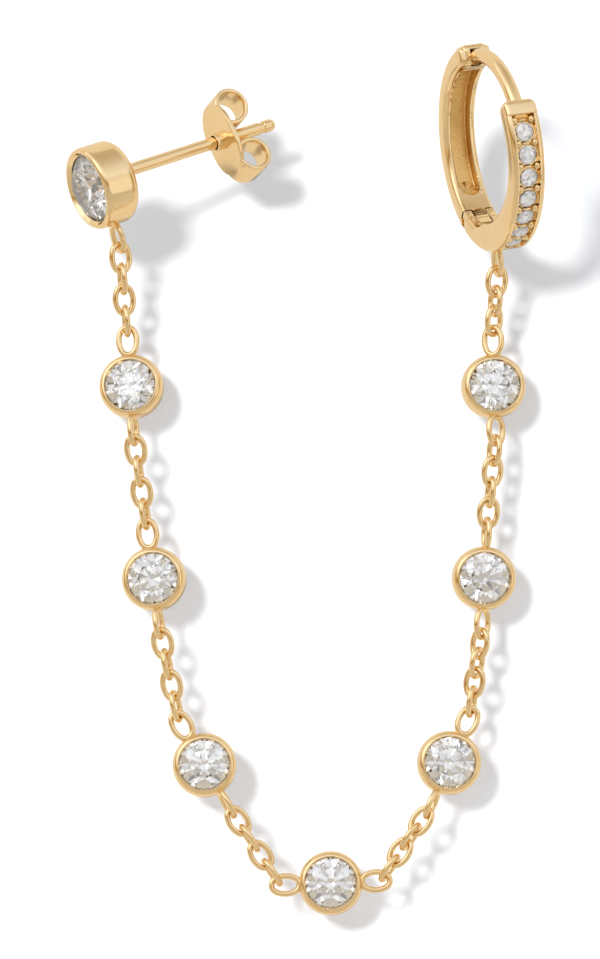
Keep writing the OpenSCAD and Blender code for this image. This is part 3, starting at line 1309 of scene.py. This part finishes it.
@dataclass(frozen=True)
class HoopSizes:
    """The sizes that the hoop's two halves share."""

    radius: float = HOOP_RADIUS
    thick: float = 1.15
    width: float = 2.05
    edge: float = 0.26
    seam_edge: float = 0.03
    front_end: float = 23.0
    band_end: float = 17.0
    hinge_at: float = 231.0
    ring_at: float = HOOP_RING_AT
    pin_d: float = 0.56
    knuckle_w: float = 0.84
    knuckle_gap: float = 0.04
    disc_edge: float = 0.04
    relief: float = 0.17
    lap: float = 7.5
    lap_room: float = 0.01
    wire_d: float = 0.9
    wire_end: float = 91.0
    tip_span: float = 8.0
    tip_t: float = 0.6
    catch_gap: float = 0.05

    @property
    def inner(self) -> float:
        """The band's inner radius."""
        return self.radius - self.thick

    @property
    def pin_at(self) -> float:
        """The hinge pin's distance from the hoop's axis."""
        return self.radius - self.thick / 2

    @property
    def knuckle_r(self) -> float:
        """The knuckles' radius."""
        return self.thick / 2 + 0.02

    @property
    def wire_at(self) -> float:
        """The ear wire's radius about the hoop's axis."""
        return self.inner + self.wire_d / 2 + 0.02

    @property
    def slot_roof(self) -> float:
        """The outer radius of the room for the ear wire's tip."""
        return self.wire_at + self.wire_d / 2 + self.catch_gap

    @property
    def catch_from(self) -> float:
        """The angle at which the catch starts."""
        return self.wire_end + 1

    @property
    def band_from(self) -> float:
        """The angle at which the back half's band starts."""
        return self.catch_from + 5

    def hinge_disc(
        self, name: str, radius: float, low: float, high: float, edges: Pair | None = None
    ) -> Piece:
        """Turns a disc about the hinge's axis.

        Args:
            name: The piece's name.
            radius: Its radius.
            low: Its lowest place along the axis.
            high: Its highest place along the axis.
            edges: The roundings of its low and its high edge, where they aren't the usual ones.

        Returns:
            The disc.
        """
        below, above = edges or (self.disc_edge, self.disc_edge)
        profile = [(0.0, low)]
        profile += rounding((radius - below, low + below), (below, below), -90, 0, 6)
        profile += rounding((radius - above, high - above), (above, above), 0, 90, 6)
        profile += [(0, high)]
        disc = lathe(name, profile, 56)
        a = math.radians(self.hinge_at)
        at = Vector((self.pin_at * math.cos(a), 0, self.pin_at * math.sin(a)))
        return put(disc, moved(at) @ turned(x=-90) @ turned(z=1.7))

    def arc(
        self,
        name: str,
        radii: Pair,
        sides: Pair,
        ends: Pair,
        edge: float = 0.0,
    ) -> Piece:
        """Sweeps a plain length of band, for a joint's lap or the room for it.

        Args:
            name: The piece's name.
            radii: Its inner and outer radius.
            sides: Its lowest and highest place across the band.
            ends: Its first and last angle.
            edge: The corners' radius.

        Returns:
            The length of band.
        """
        flat = section(name, radii, sides[1] - sides[0], edge)
        put(flat, moved(0, (sides[0] + sides[1]) / 2, 0))
        return spun(flat, *ends, 8)


@dataclass
class HoopFront(Assembly):
    """The front half: band, stone channel with beads, ear wire and chain ring."""

    sizes: HoopSizes
    stones: int = 7
    stone: float = 1.12
    first: float = 4.0
    step: float = 13.4
    seat_gap: float = 0.03
    pavilion: float = 0.43
    depth: float = 0.28
    wall: float = 0.35
    top_room: float = 10.0
    low_room: float = 6.5
    bead: float = 0.2
    bead_in: float = 0.75
    bead_up: float = 0.1
    bead_long: float = 1.15
    bead_foot: tuple[float, float, float] = (1.25, 1.25, 1.6)
    bridge: tuple[float, float, float] = (0.5, 1.5, 0.9)
    bridge_up: float = 0.02
    belly: float = 0.6
    belly_rise: Pair = (240.0, 22.0)
    belly_fall: Pair = (285.0, 62.0)
    belly_least: float = 0.004
    band_steps: int = 100
    block_start: float = 13.5
    block_rise: float = 0.1
    block_edge: float = 0.34
    block_ends: Pair = (0.1, 0.42)
    cheek_edge: float = 0.24
    wire_root: float = 4.0
    wire_edge: float = 0.07

    @property
    def floor(self) -> float:
        """The channel floor's radius."""
        return self.sizes.radius - self.depth

    @property
    def channel_w(self) -> float:
        """The channel's width."""
        return self.sizes.width - 2 * self.wall

    @property
    def cheek(self) -> float:
        """How far off the hoop's middle the hinge's cheeks start."""
        return self.sizes.knuckle_w / 2 + self.sizes.knuckle_gap

    def at(self, angle: float, radius: float, side: float = 0) -> Matrix:
        """A place on the row of stones, with Z outwards."""
        return turned(y=-angle) @ moved(radius, side, 0) @ turned(y=90)

    def make_band(self) -> Piece:
        """Sweeps the band and cuts the channel, the seats and the room for the hinge.

        Returns:
            The band.
        """
        size = self.sizes
        band = section("front_band", (size.inner, size.radius), size.width, size.edge)
        spun(band, size.hinge_at, 360 + size.band_end, self.band_steps)
        self.thicken(band)
        last = self.first - (self.stones - 1) * self.step
        reach = (self.floor, size.radius + 1)
        channel = section("channel", reach, self.channel_w, 0)
        spun(channel, 360 + last - self.low_room, 360 + self.first + self.top_room, 64)
        gap = self.seat_gap
        r = self.stone / 2 + gap
        deep = self.stone * self.pavilion
        profile = [(0.0, -deep), (r * 0.55, -deep * 0.5), (r, -gap), (r, 0.5), (0, 0.5)]
        seats = [
            put(lathe("seat", profile, 40), self.at(self.first - i * self.step, self.floor + gap))
            for i in range(self.stones)
        ]
        side = self.cheek
        room = size.hinge_disc("room", size.knuckle_r + size.relief, -side, side)
        lap_room = size.arc(
            "lap_room",
            (size.inner - 1, size.pin_at),
            (size.lap_room - side, side - size.lap_room),
            (size.hinge_at - 1, size.hinge_at + size.lap + 1),
        )
        cut(band, room, lap_room, channel, joined(*seats))
        return softened(band, size.seam_edge, 2, 45)

    def thicken(self, band: Piece) -> None:
        """Draws the band's inner side in towards the bottom, section by section.

        Args:
            band: The swept band.
        """
        size = self.sizes
        reach = 360 + size.band_end - size.hinge_at
        inner = size.inner + size.edge + 0.02
        with editing(band):
            for i in range(self.band_steps + 1):
                angle = size.hinge_at + reach * i / self.band_steps
                rise = eased((angle - self.belly_rise[0]) / self.belly_rise[1])
                fall = eased((angle - self.belly_fall[0]) / self.belly_fall[1])
                extra = self.belly * rise * (1 - fall)
                if extra < self.belly_least:
                    continue
                a = math.radians(angle)
                out = Vector((math.cos(a), 0, math.sin(a)))
                across = Vector((-out.z, 0, out.x))
                pick(
                    band,
                    lambda at, out=out, across=across: abs(at.dot(across)) < 0.01
                    and 0 < at.dot(out) < inner,
                )
                share = 1 - extra / size.inner
                bpy.ops.transform.resize(value=(share, 1, share), center_override=(0, 0, 0))

    def make_block(self) -> Piece:
        """Models the pillow-shaped block that ends the front half.

        Returns:
            The block.
        """
        size = self.sizes
        top = size.radius + self.block_rise
        sweep = size.front_end - self.block_start
        length = top * math.radians(sweep)
        radii = (size.inner - 0.01, top)
        width = size.width + 0.02
        block = pillow("block", radii, width, self.block_edge, length, self.block_ends)
        put(block, moved(0, 0, -length / 2))
        return put(block, turned(y=-(self.block_start + sweep / 2)))

    def make_beads(self) -> list[Piece]:
        """Models the raised beads that hold the stones, and the bridge between each two.

        Returns:
            The beads and the bridges.
        """
        bpy.ops.mesh.primitive_uv_sphere_add(segments=20, ring_count=12, radius=self.bead)
        bead = new_piece("bead_model")
        with editing(bead):
            pick(bead, lambda at: at.z < -0.02)
            bpy.ops.transform.resize(value=self.bead_foot, center_override=(0, 0, 0))
        smoothed(bead, 60)
        beads = []
        off = self.channel_w / 2 - self.bead * self.bead_in
        for i in range(-1, self.stones):
            angle = self.first - (i + 0.5) * self.step
            for side in (-off, off):
                place = self.at(angle, self.floor + self.bead_up, side)
                beads.append(copied(bead, "bead", place @ sized(self.bead_long, 1, 1)))
            place = self.at(angle, self.floor + self.bridge_up)
            beads.append(copied(bead, "bridge", place @ sized(*self.bridge)))
        drop(bead)
        return beads

    def make_wire(self) -> Piece:
        """Sweeps the ear wire and presses its tip flat.

        Returns:
            The ear wire.
        """
        size = self.sizes
        bpy.ops.mesh.primitive_circle_add(
            vertices=32, radius=size.wire_d / 2, fill_type="NGON", location=(size.wire_at, 0, 0)
        )
        wire = new_piece("ear_wire")
        spun(wire, size.front_end - self.wire_root, size.wire_end + size.tip_span, 60)
        flat = size.tip_t / size.wire_d
        with editing(wire):
            pick(wire, lambda at: math.degrees(math.atan2(at.z, at.x)) > size.wire_end - 0.5)
            bpy.ops.transform.resize(value=(1, flat, 1), center_override=(0, 0, 0))
        return smoothed(softened(wire, self.wire_edge, 3, 60), 50)

    def make_hinge(self) -> list[Piece]:
        """Models the hinge's two cheeks, each with the lap on its inner side.

        Returns:
            The cheeks and the laps.
        """
        size, side, edge = self.sizes, self.cheek, self.cheek_edge
        outer = size.width / 2
        pieces = []
        for low, high, edges in (
            (side, outer - 0.01, (size.disc_edge, edge)),
            (0.01 - outer, -side, (edge, size.disc_edge)),
        ):
            pieces.append(size.hinge_disc("cheek", size.knuckle_r, low, high, edges))
        for sides in ((side, outer - 0.05), (0.05 - outer, -side)):
            ends = (size.hinge_at - size.lap, size.hinge_at + 1)
            pieces.append(size.arc("lap", (size.inner, size.pin_at), sides, ends, 0.08))
        return [smoothed(piece) for piece in pieces]

    def build(self) -> None:
        """Builds the front half."""
        size = self.sizes
        band = smoothed(self.make_band(), 30)
        hinge = self.make_hinge()
        ring = self.route.wire.model("hoop_ring")
        put(ring, turned(y=-size.ring_at) @ self.route.ring(size.radius, 0))
        joined(band, *hinge, *self.make_beads(), self.make_block(), self.make_wire(), ring)
        band.name = band.data.name = "front_half"
        self.showcase.show(band, self.route.hoop_frame, ("hoop_front",))
        self.showcase.dress("pave_stones", self.showcase.finishes.small_stone)


@dataclass
class HoopBack(Assembly):
    """The back half: hollowed band, middle knuckle and catch."""

    sizes: HoopSizes
    hollow_depth: float = 0.68
    hollow_wall: float = 0.38
    hollow_edge: float = 0.12
    hollow_from: float = 108.0
    hollow_end: float = 203.0
    catch_l: float = 1.45
    catch_w: float = 1.7
    catch_roof: float = 0.3
    catch_edge: float = 0.36
    catch_ends: Pair = (0.38, 0.3)
    band_tip: float = 0.5
    band_tip_in: float = 0.45
    band_tip_ends: Pair = (0.3, 0.02)

    def make_slot(self) -> Piece:
        """Sweeps the room for the ear wire's tip.

        Returns:
            The room, to be cut out.
        """
        size = self.sizes
        radii = (size.inner - 1, size.slot_roof)
        slot = section("slot", radii, size.tip_t + 2 * size.catch_gap, 0)
        return spun(slot, size.wire_end - 9, size.wire_end + size.tip_span + 1, 12)

    def make_band(self) -> Piece:
        """Sweeps the band and cuts its hollow, the slot and the room for the hinge.

        Returns:
            The band.
        """
        size, deep = self.sizes, self.hollow_depth
        band = section("back_band", (size.inner, size.radius), size.width, size.edge)
        spun(band, size.band_from, size.hinge_at, 90)
        band.data.materials.append(self.showcase.finishes.gold)
        wide = size.width - 2 * self.hollow_wall
        radii = (size.inner - 1, size.inner + deep)
        hollow = section("hollow", radii, wide, self.hollow_edge)
        spun(hollow, self.hollow_from, self.hollow_end, 60)
        end = lathe("hollow_end", [(0, -1), (wide / 2, -1), (wide / 2, deep), (0, deep)], 48)
        put(end, turned(y=-self.hollow_end) @ moved(size.inner, 0, 0) @ turned(y=90))
        # The hollow's cutters carry the cast gold, with its grain and its painted shade, onto the
        # cut faces.
        for tool in (hollow, end):
            tool.data.materials.append(self.showcase.finishes.cast)
        cut(band, hollow, end, material_mode="TRANSFER")
        half = size.knuckle_w / 2
        room = size.knuckle_r + size.relief
        radii = (size.inner - 1, size.pin_at)
        ends = (size.hinge_at - size.lap - 1, size.hinge_at + 1)
        low, high = half + size.lap_room, size.width - 0.3
        cut(
            band,
            size.hinge_disc("room", room, half, size.width),
            size.hinge_disc("room", room, -size.width, -half),
            size.arc("lap_room", radii, (low, high), ends),
            size.arc("lap_room", radii, (-high, -low), ends),
            self.make_slot(),
        )
        return softened(band, size.seam_edge, 2, 45)

    def make_catch(self) -> Piece:
        """Models the catch: a pillow-shaped cap with the slot for the ear wire's tip.

        Returns:
            The catch.
        """
        size = self.sizes
        radii = (size.inner, size.slot_roof + self.catch_roof)
        cap = pillow("catch", radii, self.catch_w, self.catch_edge, self.catch_l, self.catch_ends)
        put(cap, turned(y=-size.catch_from))
        return softened(cut(cap, self.make_slot()), size.seam_edge, 2, 60)

    def make_tip(self) -> Piece:
        """Models the rounded start of the band, behind the catch.

        Returns:
            The start of the band.
        """
        size = self.sizes
        radii = (size.inner, size.radius)
        tip = pillow("band_end", radii, size.width, size.edge, self.band_tip, self.band_tip_ends)
        put(tip, turned(y=-size.band_from) @ moved(0, 0, -self.band_tip_in))
        return softened(cut(tip, self.make_slot()), 0.02, 2, 60)

    def build(self) -> None:
        """Builds the back half."""
        size = self.sizes
        half = size.knuckle_w / 2
        band = self.make_band()
        knuckle = size.hinge_disc("knuckle", size.knuckle_r, -half, half)
        catch = self.make_catch()
        radii, ends = (size.inner, size.pin_at), (size.hinge_at - 1, size.hinge_at + size.lap)
        lap = size.arc("lap", radii, (-half, half), ends, 0.06)
        others = (knuckle, catch, lap, self.make_tip())
        for other in others:
            other.data.materials.append(self.showcase.finishes.gold)
        joined(band, *others)
        band.name = band.data.name = "back_half"
        smoothed(band, 30)
        self.showcase.show(band, self.route.hoop_frame, ("hoop_back",), Body.GATE)


@dataclass
class HingePin(Assembly):
    """The hinge's pin."""

    sizes: HoopSizes

    def build(self) -> None:
        """Builds the pin."""
        size = self.sizes
        half = size.width / 2 - 0.02
        pin = smoothed(size.hinge_disc("pin", size.pin_d / 2, -half, half), 30)
        self.showcase.show(pin, self.route.hoop_frame, ("hinge_pin",))


# The studio


@dataclass(frozen=True)
class Lobe:
    """A round, soft-edged patch of the room that the metal mirrors."""

    towards: tuple[float, float, float]
    full: float
    end: float
    tone: Colour

    def painted(self, desk: NodeDesk, way: Socket, under: Socket) -> Socket:
        """Paints the patch over what is there.

        Args:
            desk: The sky's desk.
            way: The direction.
            under: The colour that is there.

        Returns:
            The new colour.
        """
        inputs = {0: way, 1: Vector(self.towards).normalized()}
        near = desk.add("VectorMath", inputs, operation="DOT_PRODUCT").outputs["Value"]
        reach = (math.cos(math.radians(self.end)), math.cos(math.radians(self.full)))
        return desk.mix(desk.remap(near, reach, kind="SMOOTHSTEP"), under, self.tone)


@dataclass(frozen=True)
class Sky:
    """The room about the earring, painted by direction alone.

    The metal mirrors warm tones by height, the stones show greys by height, and behind it all is
    white.
    """

    plain: float = 0.69
    plain_tone: Colour = (0.94, 0.975, 1.03)
    mirrored: float = 1.2
    sides: Colour = (0.42, 0.31, 0.17)
    sides_from: float = 0.78
    across_seen: Pair = (-0.9, 0.9)
    across: Pair = (1.2, 0.84)
    sparkle: Pair = (2.8, 1.0)
    sparkle_seen: Pair = (-0.9, -0.45)
    sparkle_tone: Colour = (0.99, 0.995, 1.01)
    sparkle_stops: tuple[Pair, ...] = (
        (0.0, 0.7),
        (0.2, 1.0),
        (0.3, 0.45),
        (0.36, 0.95),
        (0.46, 0.7),
        (0.5, 0.22),
        (0.54, 0.85),
        (0.66, 1.15),
        (0.7, 0.5),
        (0.76, 1.3),
        (0.88, 0.95),
        (0.93, 0.4),
        (1.0, 0.85),
    )
    stops: tuple[tuple[float, Colour], ...] = (
        (0.0, (0.68, 0.64, 0.60)),
        (0.30, (0.64, 0.59, 0.53)),
        (0.44, (0.50, 0.41, 0.27)),
        (0.5, (0.28, 0.18, 0.08)),
        (0.56, (0.58, 0.52, 0.44)),
        (0.72, (0.95, 0.97, 1.02)),
        (0.86, (0.78, 0.78, 0.79)),
        (1.0, (0.50, 0.43, 0.34)),
    )
    lobes: tuple[Lobe, ...] = (
        Lobe((-0.6, -0.6, 0.5), 10, 24, (1.35, 1.35, 1.38)),
        Lobe((0.8, -0.58, -0.05), 10, 30, (0.84, 0.80, 0.74)),
    )

    def warm(self, desk: NodeDesk, way: Socket, height: Socket, x: Socket) -> Socket:
        """Paints what the metal mirrors.

        Args:
            desk: The sky's desk.
            way: The direction.
            height: Its height from 0 to 1.
            x: Its X part.

        Returns:
            The colour.
        """
        inputs = {
            0: desk.ramp(height, self.stops),
            "Scale": desk.remap(x, self.across_seen, self.across),
        }
        colour = desk.add("VectorMath", inputs, operation="SCALE").outputs["Vector"]
        side = desk.add("Math", {0: x}, operation="ABSOLUTE").outputs["Value"]
        far = desk.remap(side, (self.sides_from, 1), kind="SMOOTHSTEP")
        colour = desk.mix(far, colour, self.sides)
        for lobe in self.lobes:
            colour = lobe.painted(desk, way, colour)
        return colour

    def build(self) -> None:
        """Paints the room."""
        world = bpy.data.worlds.new("studio_room")
        bpy.context.scene.world = world
        world.use_nodes = True
        desk = NodeDesk(world.node_tree)
        way = desk.add("TexCoord").outputs["Generated"]
        parts = desk.add("SeparateXYZ", {"Vector": way}).outputs
        height = desk.remap(parts["Z"], (-1, 1))
        greys = [
            (at, tuple(value * part for part in self.sparkle_tone))
            for at, value in self.sparkle_stops
        ]
        looks = (
            ("", (*self.plain_tone, 1), self.plain),
            ("Is Glossy Ray", self.warm(desk, way, height, parts["X"]), self.mirrored),
            (
                "Is Transmission Ray",
                desk.ramp(height, greys),
                desk.remap(parts["X"], self.sparkle_seen, self.sparkle),
            ),
            ("Is Camera Ray", (1, 1, 1, 1), 1.0),
        )
        path = desk.add("LightPath").outputs
        shown = None
        for ray, colour, strength in looks:
            inputs = {"Color": colour, "Strength": strength}
            light = desk.add("Background", inputs).outputs["Background"]
            if ray:
                inputs = {"Fac": path[ray], 1: shown, 2: light}
                light = desk.add("MixShader", inputs).outputs["Shader"]
            shown = light
        desk.add("OutputWorld", {"Surface": shown})


@dataclass(frozen=True)
class Studio:
    """The white ground, the key light and the camera."""

    middle_x: float = 10.945
    middle_z: float = -18.564
    distance: float = 500.0
    seen: float = 58.12
    sensor: float = 24.0
    clip: Pair = (0.01, 20.0)
    ground_size: Pair = (260.0, 200.0)
    ground_way: tuple[Pair, ...] = (
        (2.8, -46.0),
        (2.8, -12.0),
        (5.6, -5.5),
        (8.6, -2.0),
        (10.0, 0.5),
        (11.5, 14.0),
        (17.0, 64.0),
    )
    ground_bend: float = 1.4
    floor_y: float = 0.3
    floor_z: float = -49.0
    sun_way: tuple[float, float, float] = (0.36, 1.0, -0.33)
    sun_power: float = 2.1
    sun_spread: float = 10.0

    def camera(self) -> None:
        """Sets the camera."""
        data = bpy.data.cameras.new("camera")
        data.sensor_fit = "VERTICAL"
        data.sensor_height = self.sensor
        data.lens = self.sensor * self.distance / self.seen
        data.clip_start, data.clip_end = self.clip
        camera = bpy.data.objects.new("camera", data)
        camera.location = (self.middle_x * MM, -self.distance * MM, self.middle_z * MM)
        camera.rotation_euler = (math.pi / 2, 0, 0)
        bpy.context.scene.collection.objects.link(camera)
        bpy.context.scene.camera = camera

    def ground(self) -> None:
        """Sweeps the white ground: a floor that bends up into a leaning, stepped back."""
        start = (self.floor_y, self.floor_z)
        wide, deep = self.ground_size
        bpy.ops.mesh.primitive_plane_add(size=1)
        ground = new_piece("ground")
        with editing(ground):
            bpy.ops.mesh.select_all(action="SELECT")
            bpy.ops.transform.resize(value=(wide, deep, 1))
            bpy.ops.transform.translate(value=(self.middle_x, start[0] - deep / 2, start[1]))
            pick(ground, lambda at: at.y > start[0] - 1, "EDGE")
            for y, z in self.ground_way:
                bpy.ops.mesh.extrude_edges_move(
                    TRANSFORM_OT_translate={"value": (0, y - start[0], z - start[1])}
                )
                start = (y, z)
        softened(ground, self.ground_bend, 8, 4)
        smoothed(ground, 40)
        ground.data.materials.append(Paper().material())
        put(ground, sized(MM, MM, MM))

    def light(self) -> None:
        """Sets the sun-like key light."""
        data = bpy.data.lights.new("key", "SUN")
        data.energy = self.sun_power
        data.angle = math.radians(self.sun_spread)
        key = bpy.data.objects.new("key", data)
        key.rotation_euler = Vector(self.sun_way).to_track_quat("-Z", "Y").to_euler()
        key.visible_glossy = False
        bpy.context.scene.collection.objects.link(key)

    def build(self) -> None:
        """Sets up the studio."""
        self.camera()
        self.ground()
        self.light()
        Sky().build()
        bpy.context.scene.view_settings.view_transform = "Standard"


def main() -> None:
    """Builds everything in order."""
    logging.basicConfig(level=logging.INFO, format="%(name)s: %(message)s")
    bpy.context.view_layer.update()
    showcase = Showcase(Finishes())
    route = Route()
    Chain(route, showcase).build()
    Stud(route, showcase).build()
    Butterfly(route, showcase).build()
    sizes = HoopSizes()
    for part in (HoopFront, HoopBack, HingePin):
        part(route, showcase, sizes).build()
    Studio().build()
    LOG.info("%d pieces dressed", showcase.count)


if __name__ == "__main__":
    main()
